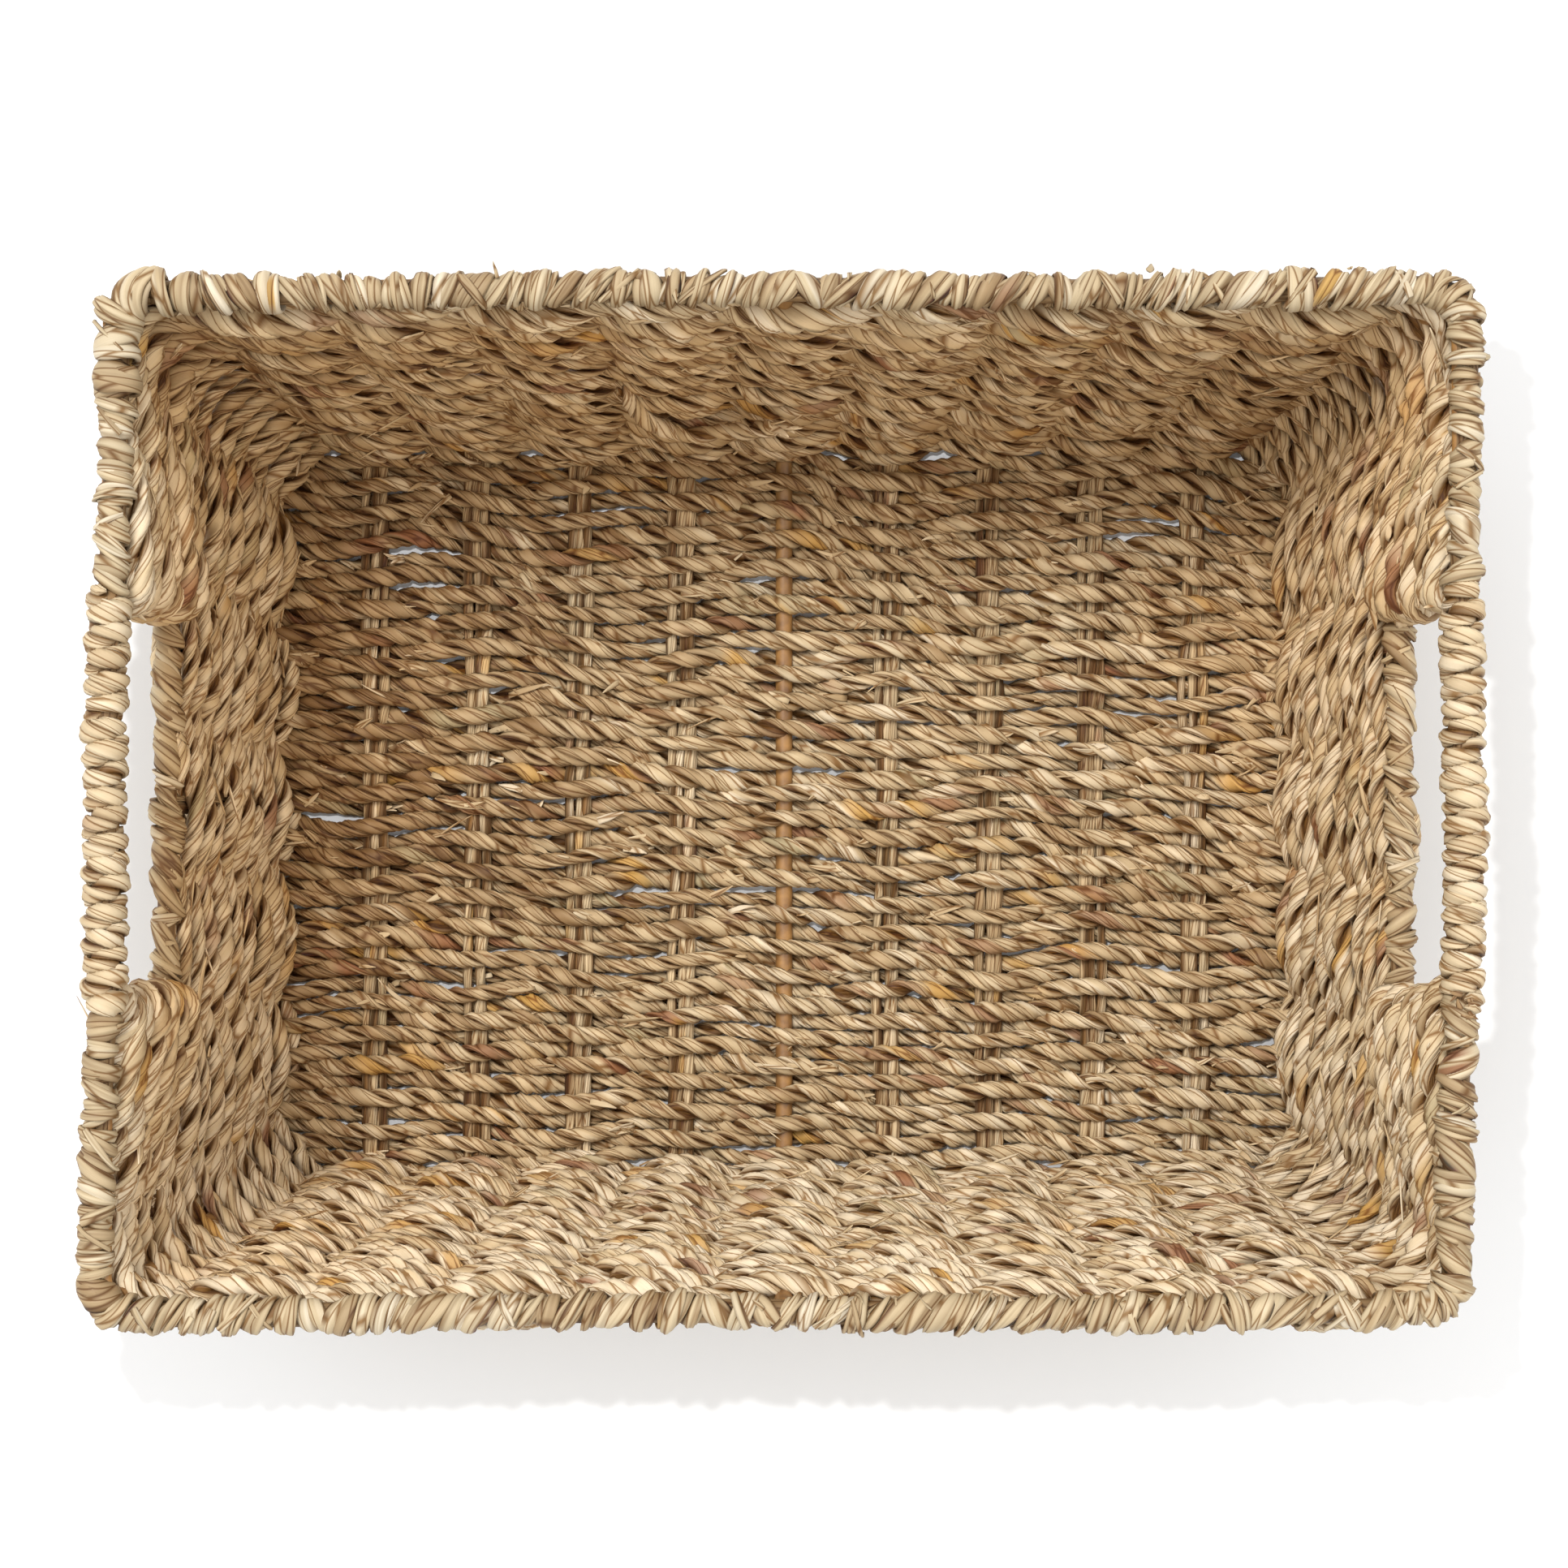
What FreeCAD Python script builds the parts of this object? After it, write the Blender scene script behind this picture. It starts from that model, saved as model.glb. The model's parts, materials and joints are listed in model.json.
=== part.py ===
"""Rectangular seagrass storage basket on a wire frame, in millimetres.

X runs along the basket's length, Y from front to back, and Z up. The origin is the centre of the underside.
The frame is a rim wire, a bottom hoop, four corner posts, a centre rod and two handle wires. Paired cords are
the stakes, and the woven rope is a closed solid for the base and for each wall, with the true outer shape and
both hand-hold slots open. Leaf strip is wound round the rim, the handles and the slot sills.
"""

import FreeCAD, Part

import math
import os

from FreeCAD import Vector

# Overall form
RIM_HALF_X = 194.0
RIM_HALF_Y = 146.5
RIM_CORNER = 10.0
HEIGHT = 152.0
TAPER = 28.0
BOTTOM_CORNER = 18.0

# Woven layers
WALL_THICK = 12.0
BASE_THICK = 12.5

# Wire frame, radii
RIM_WIRE_R = 2.0
HOOP_WIRE_R = 2.0
POST_R = 2.5
CENTRE_ROD_R = 2.75
HANDLE_WIRE_R = 2.25

# Wrapping, outer radii
RIM_WRAP_R = 6.0
SILL_WRAP_R = 5.25
WALL_INTO_WRAP = 1.5

# Stakes: two cords side by side
CORD_R = 1.8
CORD_SPACING = 3.8
LONG_GAPS = 10
SHORT_GAPS = 6

# Hand-hold slots
SLOT_HALF = 55.0
UPRIGHT_HALF = 60.0
SILL_DROP = 47.0

# Bends and clearances
STAKE_BEND = 6.0
ROD_BEND = 8.0
HANDLE_BEND = 9.0
HOOP_OFFSET = 3.2
CLEAR = 0.15
END_GAP = 0.2

RIM_Z = HEIGHT - RIM_WRAP_R
SILL_Z = RIM_Z - SILL_DROP
WALL_TOP_Z = RIM_Z - RIM_WRAP_R + WALL_INTO_WRAP
BASE_MID_Z = BASE_THICK / 2
SLOPE = TAPER / RIM_Z
LEAN = math.atan(SLOPE)
STAKE_TOP_Z = RIM_Z - RIM_WIRE_R - END_GAP
CORD_SHIFTS = (-CORD_SPACING / 2, CORD_SPACING / 2)
UP = Vector(0, 0, 1)


def half_x(z):
    """Half length of the basket at the middle of its walls."""
    return RIM_HALF_X - SLOPE * (RIM_Z - z)


def half_y(z):
    """Half width of the basket at the middle of its walls."""
    return RIM_HALF_Y - SLOPE * (RIM_Z - z)


def corner_radius(z):
    return BOTTOM_CORNER + (RIM_CORNER - BOTTOM_CORNER) * z / RIM_Z


def save(name, shape):
    shape.exportStep(f"parts/{name}.step")


def tube(points, radius, bend=0.0):
    """A round bar along straight runs, with an arc of radius bend at each inner point."""
    edges = []
    start = points[0]
    for before, corner, after in zip(points, points[1:], points[2:]):
        inward = (before - corner).normalize()
        outward = (after - corner).normalize()
        half_turn = (math.pi - inward.getAngle(outward)) / 2
        reach = bend * math.tan(half_turn)
        first = corner + inward * reach
        last = corner + outward * reach
        centre_way = (inward + outward).normalize()
        middle = corner + centre_way * (bend / math.cos(half_turn) - bend)
        edges.append(Part.LineSegment(start, first).toShape())
        edges.append(Part.Arc(first, middle, last).toShape())
        start = last
    edges.append(Part.LineSegment(start, points[-1]).toShape())
    direction = points[1] - points[0]
    section = Part.Wire([Part.makeCircle(radius, points[0], direction)])
    return Part.Wire(edges).makePipeShell([section], True, False)


def rounded_rectangle(half_length, half_width, radius, z):
    """A closed wire of four straight sides and four corner arcs, starting on the +X side."""
    edges = []
    diagonal = radius * math.sqrt(0.5)
    signs = ((1, 1), (-1, 1), (-1, -1), (1, -1))
    arcs = []
    for sx, sy in signs:
        centre = Vector(sx * (half_length - radius), sy * (half_width - radius), z)
        on_x = centre + Vector(sx * radius, 0, 0)
        on_y = centre + Vector(0, sy * radius, 0)
        middle = centre + Vector(sx * diagonal, sy * diagonal, 0)
        ends = (on_x, on_y) if sx * sy > 0 else (on_y, on_x)
        arcs.append((ends[0], middle, ends[1]))
    for arc, following in zip(arcs, arcs[1:] + arcs[:1]):
        edges.append(Part.Arc(*arc).toShape())
        edges.append(Part.LineSegment(arc[2], following[0]).toShape())
    return Part.Wire(edges)


def ring_wire(half_length, half_width, corner, z, radius):
    """A closed ring of round wire on a rounded rectangle: four straight bars and four bent corners."""
    inner_x = half_length - corner
    inner_y = half_width - corner
    ring = None
    for index in range(4):
        sx = 1 if index in (0, 3) else -1
        sy = 1 if index < 2 else -1
        centre = Vector(sx * inner_x, sy * inner_y, z)
        quarter = corner_bar(centre, corner, radius, 90 * index)
        along_x = index in (0, 2)
        start = centre + (Vector(0, sy * corner, 0) if along_x else Vector(sx * corner, 0, 0))
        way = Vector(-sx, 0, 0) if along_x else Vector(0, -sy, 0)
        length = 2 * (inner_x if along_x else inner_y)
        bar = Part.makeCylinder(radius, length, start, way)
        piece = quarter.fuse(bar)
        ring = piece if ring is None else ring.fuse(piece)
    return ring.removeSplitter()


def corner_bar(centre, bend, radius, start_angle):
    """A quarter turn of round bar about a vertical axis through centre."""
    section = Part.makeCircle(radius, centre + Vector(bend, 0, 0), Vector(0, 1, 0))
    face = Part.Face(Part.Wire([section]))
    face.rotate(centre, UP, start_angle)
    return face.revolve(centre, UP, 90)


def sleeve(start, end, outer, inner):
    """A straight round sleeve from start to end."""
    way = end - start
    solid = Part.makeCylinder(outer, way.Length, start, way)
    return solid.cut(Part.makeCylinder(inner, way.Length, start, way))


def long_stake_path(index, shift):
    """A stake across the base and up both long walls, fanning out with the walls' length."""
    x_base = index * 2 * half_x(BASE_MID_Z) / LONG_GAPS + shift
    x_top = index * 2 * RIM_HALF_X / LONG_GAPS + shift
    y_base = half_y(BASE_MID_Z)
    y_top = half_y(STAKE_TOP_Z)
    return [
        Vector(x_top, -y_top, STAKE_TOP_Z),
        Vector(x_base, -y_base, BASE_MID_Z),
        Vector(x_base, y_base, BASE_MID_Z),
        Vector(x_top, y_top, STAKE_TOP_Z),
    ]


def short_stake_path(side, index, shift):
    """A stake inside a short wall, which ends at the rim wire or at the sill of the slot."""
    bottom = BASE_MID_Z + CORD_R
    under_slot = abs(index) * 2 * RIM_HALF_Y / SHORT_GAPS < UPRIGHT_HALF
    top = SILL_Z - HANDLE_WIRE_R - END_GAP if under_slot else STAKE_TOP_Z
    ends = []
    for z in (bottom, top):
        ends.append(Vector(side * half_x(z), index * 2 * half_y(z) / SHORT_GAPS + shift, z))
    return ends


def paired_cords(paths, bend, radius):
    """Two cords side by side as separate solids."""
    return Part.makeCompound([tube(path, radius, bend) for path in paths])


def hoop_geometry():
    """Half lengths, corner radius and height of the hoop, outside the bend of the stakes."""
    outward = Vector(1 - math.sin(LEAN), -math.cos(LEAN), 0).normalize()
    z = BASE_MID_Z + HOOP_OFFSET * outward.y
    grow = HOOP_OFFSET * outward.x
    corner = corner_radius(BASE_MID_Z) + grow
    return half_x(BASE_MID_Z) + grow, half_y(BASE_MID_Z) + grow, corner, z


def corner_post_path(sx, sy):
    """A post from just above the hoop's corner to just under the rim wire's corner."""
    hoop_z = hoop_geometry()[3]
    ends = []
    for z in (hoop_z + HOOP_WIRE_R + POST_R, STAKE_TOP_Z - END_GAP):
        radius = corner_radius(z)
        reach = radius * math.sqrt(0.5)
        ends.append(Vector(sx * (half_x(z) - radius + reach), sy * (half_y(z) - radius + reach), z))
    return ends


def handle_path(side):
    """The sill of a slot and its two uprights, which end just under the rim wire."""
    x_sill = side * half_x(SILL_Z)
    x_top = side * half_x(STAKE_TOP_Z)
    return [
        Vector(x_top, -UPRIGHT_HALF, STAKE_TOP_Z),
        Vector(x_sill, -UPRIGHT_HALF, SILL_Z),
        Vector(x_sill, UPRIGHT_HALF, SILL_Z),
        Vector(x_top, UPRIGHT_HALF, STAKE_TOP_Z),
    ]


def wall_envelope(offset, top):
    """The tapered tub bounded by the middle of the walls moved outwards by offset."""
    wires = []
    for z in (0.0, top):
        wires.append(
            rounded_rectangle(half_x(z) + offset, half_y(z) + offset, corner_radius(z) + offset, z)
        )
    return Part.makeLoft(wires, True, True)


def quadrant(axis_x, sign):
    """A prism that holds one wall, bounded by the mitre planes through the corners."""
    apex = RIM_HALF_X - RIM_CORNER - (RIM_HALF_Y - RIM_CORNER)
    far = RIM_HALF_X
    if axis_x:
        points = [(apex, 0), (apex + far, -far), (apex + far, far)]
    else:
        points = [(-apex, 0), (-apex - far, far), (apex + far, far), (apex, 0)]
    corners = []
    for x, y in points:
        corners.append(Vector(sign * x, y, 0) if axis_x else Vector(x, sign * y, 0))
    outline = Part.makePolygon(corners + corners[:1])
    return Part.Face(outline).extrude(Vector(0, 0, HEIGHT))


def slot_cutter(side):
    """The slot through a short wall, from the sill up to the rim wrapping."""
    depth = 4 * WALL_THICK
    x_low = side * half_x(SILL_Z) - depth / 2
    return Part.makeBox(depth, 2 * SLOT_HALF, RIM_Z - SILL_Z, Vector(x_low, -SLOT_HALF, SILL_Z))


def channelled(shape, bars):
    """The shape with room left for every bar that meets it."""
    meeting = [bar for bar in bars if bar.BoundBox.intersect(shape.BoundBox)]
    return shape.cut(meeting) if meeting else shape


def main():
    os.makedirs("parts", exist_ok=True)
    room = []

    # Wire frame
    save("rim_wire", ring_wire(RIM_HALF_X, RIM_HALF_Y, RIM_CORNER, RIM_Z, RIM_WIRE_R))
    hoop_x, hoop_y, hoop_corner, hoop_z = hoop_geometry()
    save("bottom_hoop", ring_wire(hoop_x, hoop_y, hoop_corner, hoop_z, HOOP_WIRE_R))
    room.append(ring_wire(hoop_x, hoop_y, hoop_corner, hoop_z, HOOP_WIRE_R + CLEAR))
    for sx, x_name in ((-1, "left"), (1, "right")):
        for sy, y_name in ((-1, "front"), (1, "back")):
            save(f"corner_post_{x_name}_{y_name}", tube(corner_post_path(sx, sy), POST_R))
            room.append(tube(corner_post_path(sx, sy), POST_R + CLEAR))
        save(f"handle_wire_{x_name}", tube(handle_path(sx), HANDLE_WIRE_R, HANDLE_BEND))
        room.append(tube(handle_path(sx), HANDLE_WIRE_R + CLEAR, HANDLE_BEND))
    save("centre_rod", tube(long_stake_path(0, 0.0), CENTRE_ROD_R, ROD_BEND))
    room.append(tube(long_stake_path(0, 0.0), CENTRE_ROD_R + CLEAR, ROD_BEND))

    # Stakes of paired cords
    furthest = LONG_GAPS // 2 - 1
    long_indices = [i for i in range(-furthest, furthest + 1) if i != 0]
    for number, index in enumerate(long_indices, start=1):
        paths = [long_stake_path(index, shift) for shift in CORD_SHIFTS]
        save(f"long_stake_{number}", paired_cords(paths, STAKE_BEND, CORD_R))
        room += paired_cords(paths, STAKE_BEND, CORD_R + CLEAR).Solids
    furthest = SHORT_GAPS // 2 - 1
    for side, x_name in ((-1, "left"), (1, "right")):
        for number, index in enumerate(range(-furthest, furthest + 1), start=1):
            paths = [short_stake_path(side, index, shift) for shift in CORD_SHIFTS]
            save(f"short_stake_{x_name}_{number}", paired_cords(paths, 0.0, CORD_R))
            room += paired_cords(paths, 0.0, CORD_R + CLEAR).Solids

    # Woven base and walls
    offset = WALL_THICK / 2 / math.cos(LEAN)
    slab = Part.makeBox(3 * RIM_HALF_X, 3 * RIM_HALF_X, BASE_THICK)
    slab.translate(Vector(-1.5 * RIM_HALF_X, -1.5 * RIM_HALF_X, 0))
    inside = wall_envelope(-offset, WALL_TOP_Z)
    save("base_weave", channelled(inside.common(slab), room))
    tub = wall_envelope(offset, WALL_TOP_Z).cut(inside)
    tub = tub.cut(ring_wire(RIM_HALF_X, RIM_HALF_Y, RIM_CORNER, RIM_Z, RIM_WRAP_R))
    for side, x_name in ((-1, "left"), (1, "right")):
        x_sill = side * half_x(SILL_Z)
        sill = Part.makeCylinder(
            SILL_WRAP_R, 2 * SLOT_HALF, Vector(x_sill, -SLOT_HALF, SILL_Z), Vector(0, 1, 0)
        )
        wall = tub.common(quadrant(True, side)).cut([slot_cutter(side), sill])
        save(f"wall_weave_{x_name}", channelled(wall, room))
    for side, y_name in ((-1, "front"), (1, "back")):
        wall = tub.common(quadrant(False, side))
        save(f"wall_weave_{y_name}", channelled(wall, room))

    # Wrapping of leaf strip
    straight_x = RIM_HALF_X - RIM_CORNER
    straight_y = RIM_HALF_Y - RIM_CORNER
    for side, y_name in ((-1, "front"), (1, "back")):
        ends = [Vector(s * straight_x, side * RIM_HALF_Y, RIM_Z) for s in (-1, 1)]
        save(f"rim_wrap_{y_name}", channelled(sleeve(*ends, RIM_WRAP_R, RIM_WIRE_R), room))
    for side, x_name in ((-1, "left"), (1, "right")):
        x = side * RIM_HALF_X
        ends = [Vector(x, s * UPRIGHT_HALF, RIM_Z) for s in (-1, 1)]
        save(f"handle_wrap_{x_name}", channelled(sleeve(*ends, RIM_WRAP_R, RIM_WIRE_R), room))
        x_sill = side * half_x(SILL_Z)
        ends = [Vector(x_sill, s * SLOT_HALF, SILL_Z) for s in (-1, 1)]
        save(f"sill_wrap_{x_name}", channelled(sleeve(*ends, SILL_WRAP_R, HANDLE_WIRE_R), room))
        for sy, y_name in ((-1, "front"), (1, "back")):
            ends = [Vector(x, sy * y, RIM_Z) for y in (UPRIGHT_HALF, straight_y)]
            sides = channelled(sleeve(*ends, RIM_WRAP_R, RIM_WIRE_R), room)
            save(f"rim_wrap_{x_name}_{y_name}", sides)
            centre = Vector(side * straight_x, sy * straight_y, RIM_Z)
            start_angle = {(1, 1): 0, (-1, 1): 90, (-1, -1): 180, (1, -1): 270}[(side, sy)]
            corner = corner_bar(centre, RIM_CORNER, RIM_WRAP_R, start_angle)
            corner = corner.cut(corner_bar(centre, RIM_CORNER, RIM_WIRE_R, start_angle))
            save(f"rim_corner_wrap_{x_name}_{y_name}", channelled(corner, room))


main()
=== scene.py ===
"""A rectangular seagrass storage basket, rope by rope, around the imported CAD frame.

Lengths are in millimetres, and MM turns them into metres.
"""

import json
import math

import bpy
import numpy as np
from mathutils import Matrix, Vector

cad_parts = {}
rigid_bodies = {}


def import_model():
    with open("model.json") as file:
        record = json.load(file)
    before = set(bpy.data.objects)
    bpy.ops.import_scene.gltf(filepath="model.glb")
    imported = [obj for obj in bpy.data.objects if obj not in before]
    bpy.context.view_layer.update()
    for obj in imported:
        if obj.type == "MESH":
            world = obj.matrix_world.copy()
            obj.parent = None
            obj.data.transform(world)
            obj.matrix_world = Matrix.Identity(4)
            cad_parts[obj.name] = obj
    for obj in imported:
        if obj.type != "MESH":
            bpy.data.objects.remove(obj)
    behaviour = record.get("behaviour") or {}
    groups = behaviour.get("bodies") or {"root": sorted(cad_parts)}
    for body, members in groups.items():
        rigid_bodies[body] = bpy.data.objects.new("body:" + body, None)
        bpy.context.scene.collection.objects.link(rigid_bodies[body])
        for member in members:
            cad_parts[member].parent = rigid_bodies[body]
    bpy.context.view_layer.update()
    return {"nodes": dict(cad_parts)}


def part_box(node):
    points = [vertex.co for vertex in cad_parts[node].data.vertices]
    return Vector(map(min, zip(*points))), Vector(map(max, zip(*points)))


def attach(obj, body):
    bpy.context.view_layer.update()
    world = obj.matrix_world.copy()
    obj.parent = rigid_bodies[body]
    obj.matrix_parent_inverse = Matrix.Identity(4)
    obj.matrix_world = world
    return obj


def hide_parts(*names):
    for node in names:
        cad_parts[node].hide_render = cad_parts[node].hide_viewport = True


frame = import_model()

MM = 0.001
UP = np.array((0.0, 0.0, 1.0))


def cad_box(node):
    """A CAD node's lowest and highest corners, in millimetres."""
    return [np.array(corner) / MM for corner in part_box(node)]


# Sizes that the frame gives
WIRE_LOW, WIRE_HIGH = cad_box("rim_wire")
WIRE_R = (WIRE_HIGH[2] - WIRE_LOW[2]) / 2
RIM_X = WIRE_HIGH[0] - WIRE_R
RIM_Y = WIRE_HIGH[1] - WIRE_R
RIM_Z = WIRE_HIGH[2] - WIRE_R
BASE_MID = cad_box("base_weave")[1][2] / 2
RIM_R = cad_box("rim_wrap_front")[1][2] - RIM_Z
SILL_LOW, SILL_HIGH = cad_box("sill_wrap_left")
SILL_R = (SILL_HIGH[2] - SILL_LOW[2]) / 2
SILL_Z = SILL_HIGH[2] - SILL_R
SILL_HALF = SILL_HIGH[1]
HANDLE_HALF = cad_box("handle_wrap_left")[1][1]
RIM_CORNER = RIM_X - cad_box("rim_wrap_front")[1][0]
RIM_STRAIGHT_X = RIM_X - RIM_CORNER
RIM_STRAIGHT_Y = RIM_Y - RIM_CORNER

# Form of the basket. Leaf below SOFT_FLOOR is pressed flat, and none comes below LOWEST
TAPER = 28.0
BOTTOM_CORNER = 18.0
SLOPE = TAPER / RIM_Z
LEAN = math.atan(SLOPE)
SKEW = 0.0128
LOWEST = 0.1
SOFT_FLOOR = 1.0

# Weave. A WAVE is how far a rope swings round a stake. In the walls WALL_WAVE is outwards, the rest inwards
LONG_GAPS = 10
SHORT_GAPS = 6
STAKE_PITCH = 36.0
BASE_ROWS = 47
BASE_WAVE = 3.4
WALL_ROWS = 27
SLOT_ROW = 18
WALL_FIRST_Z = 3.4
WALL_LAST_Z = 138.4
FOOT_Z = 40.0
WALL_WAVE = 3.3
LONG_WALL_WAVE = 4.4
LONG_WALL_FOOT_WAVE = 5.4
SHORT_WALL_WAVE = 3.9
SHORT_WALL_FOOT_WAVE = 5.6
SHORT_WALL_SAG = 1.5

# Rope: how long a ply's turn is, the step from point to point along it, and the points round it
LAY = 21.5
WALL_LAY = 23.5
STEP = 1.5
PLY_COLUMNS = 12

# Strips of leaf on the rim, the grips and the sills
STRIP_POINTS = 9
STRIP_STEPS = 38
STRIP_TINT = (0.84, 0.88, 0.93)
GRIP_TINT = (0.98, 1.02, 1.10)
RIM_TONE = 0.69
GRIP_TONE = 0.72
SILL_TONE = 0.66
# Painted shade: the dark tone of the core under the wound leaf
SHADED_CORE_TONE = 0.20
CORE_DEPTH = 2.5
GRIP_CORE_DEPTH = 2.0


def half_x(z):
    return RIM_X - SLOPE * (RIM_Z - z)


def half_y(z):
    return RIM_Y - SLOPE * (RIM_Z - z)


def corner_radius(z):
    return BOTTOM_CORNER + (RIM_CORNER - BOTTOM_CORNER) * z / RIM_Z


# ------------ random but repeatable shapes


class Ripple:
    """A smooth random wave over two coordinates: a sum of a few sine waves."""

    def __init__(self, rng, wavelength, height, waves=7):
        angle = rng.uniform(0, 2 * math.pi, waves)
        number = 2 * math.pi / (wavelength * rng.uniform(0.6, 1.7, waves))
        self.kx = number * np.cos(angle)
        self.ky = number * np.sin(angle)
        self.phase = rng.uniform(0, 2 * math.pi, waves)
        self.height = height / math.sqrt(waves / 2)

    def __call__(self, x, y):
        x = np.asarray(x, float)[..., None]
        y = np.asarray(y, float)[..., None]
        return self.height * np.sin(self.kx * x + self.ky * y + self.phase).sum(-1)


def drift(rng, s, spacing, height):
    """A smooth random value along a length, with a new knot about every spacing."""
    knots = np.arange(s[0] - 2 * spacing, s[-1] + 3 * spacing, spacing)
    values = rng.normal(0, height, len(knots))
    position = (s - knots[0]) / spacing
    index = position.astype(int)
    part = position - index
    part = part * part * (3 - 2 * part)
    return values[index] * (1 - part) + values[index + 1] * part


# ------------ leaf colours

DARK = np.array((0.12, 0.055, 0.018))
BROWN = np.array((0.28, 0.165, 0.070))
TAN = np.array((0.44, 0.305, 0.162))
STRAW = np.array((0.58, 0.443, 0.264))
PALE = np.array((0.72, 0.60, 0.43))
SHADES = np.array((DARK, BROWN, TAN, STRAW, PALE))
ODD_LEAVES = np.array(((0.52, 0.29, 0.07), (0.27, 0.11, 0.045), (0.40, 0.32, 0.18), (0.66, 0.55, 0.38)))
ODD_CHANCES = (0.30, 0.32, 0.14, 0.24)
# Painted shade in the groove between plies: how much of each channel a ply's inner side loses
PLY_GROOVE_PAINTED_SHADE = np.array((0.72, 0.84, 0.95))
# Painted warm shade: how much of each channel the golden tint takes away
PAINTED_WARM_SHADE = (0.0, 0.15, 0.34)
# Painted shade in the creases between strips of leaf, used by the leaf materials
STRIP_EDGE_PAINTED_SHADE = (0.40, 0.27, 0.15)


def shade_of(tone):
    """Colour for a tone from 0, dark brown, to 1, pale straw."""
    position = np.clip(tone, 0, 0.999) * (len(SHADES) - 1)
    index = position.astype(int)
    part = (position - index)[..., None]
    return SHADES[index] * (1 - part) + SHADES[index + 1] * part


def leaf_colours(rng, s, columns, tone, spread, odd_every=150):
    """Colours along a ply: each column of leaf fades slowly, and here and there a leaf has an odd colour.

    odd_every is the mean distance from one odd leaf to the next.
    """
    tones = np.empty((len(s), columns))
    whole = tone + drift(rng, s, 45, spread * 0.6)
    leaves = max(2, columns // 3)
    own = [drift(rng, s, 28, spread) for _ in range(leaves)]
    for column in range(columns):
        tones[:, column] = whole + own[column * leaves // columns] + drift(rng, s, 9, spread * 0.35)
    colours = shade_of(tones)
    for _ in range(rng.poisson((s[-1] - s[0]) / odd_every)):
        middle = rng.uniform(s[0], s[-1])
        reach = rng.uniform(5, 24)
        weight = np.clip(1.6 - 1.6 * np.abs(s - middle) / reach, 0, 1)
        first = rng.integers(columns)
        covered = (np.arange(columns) - first) % columns < rng.integers(columns // 3, columns + 1)
        odd_colour = ODD_LEAVES[rng.choice(len(ODD_LEAVES), p=ODD_CHANCES)]
        blend = (weight[:, None] * covered[None, :] * rng.uniform(0.5, 0.95))[..., None]
        colours = colours * (1 - blend) + odd_colour * blend
    return colours


# ------------ mesh building


WAVER_X = Ripple(np.random.default_rng(11), 150, 0.9)
WAVER_Y = Ripple(np.random.default_rng(12), 170, 0.9)


def settle(points):
    """The basket's hand-made form: slightly skewed and wavy towards the rim, and flat underneath."""
    x, y, z = points[..., 0], points[..., 1], points[..., 2]
    rise = np.clip(z / RIM_Z, 0, 1.1)
    soft = SOFT_FLOOR - LOWEST
    moved = points.copy()
    moved[..., 0] += SKEW * y * rise + WAVER_X(y, z * 0.5) * rise
    moved[..., 1] += WAVER_Y(x, z * 0.5) * rise
    pressed = LOWEST + soft * np.exp((np.minimum(z, SOFT_FLOOR) - SOFT_FLOOR) / soft)
    moved[..., 2] = np.where(z < SOFT_FLOOR, pressed, z)
    return moved


def add_painted_warm_shade(points, colours):
    """Painted warm shade: a golden tint inside the walls and round the edge of the base, mostly at the back
    and left, standing in for light bounced among the leaves in shade.
    """
    z = points[..., 2]
    x, y = points[..., 0] / half_x(z), points[..., 1] / half_y(z)
    reach = np.maximum(np.abs(x), np.abs(y))
    edge = np.clip((reach - 0.55) / 0.45, 0, 1) * np.clip((1.02 - reach) / 0.03, 0, 1)
    side = np.clip(0.35 + 0.55 * y + 0.75 * np.clip(-x, 0, 1), 0, 1)
    warm_shade_weight = edge * side * np.clip((0.97 - z / RIM_Z) / 0.12, 0, 1)
    return colours * (1 - warm_shade_weight[..., None] * PAINTED_WARM_SHADE)


def new_object(name, data):
    thing = bpy.data.objects.new(name, data)
    bpy.context.scene.collection.objects.link(thing)
    return thing


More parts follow.
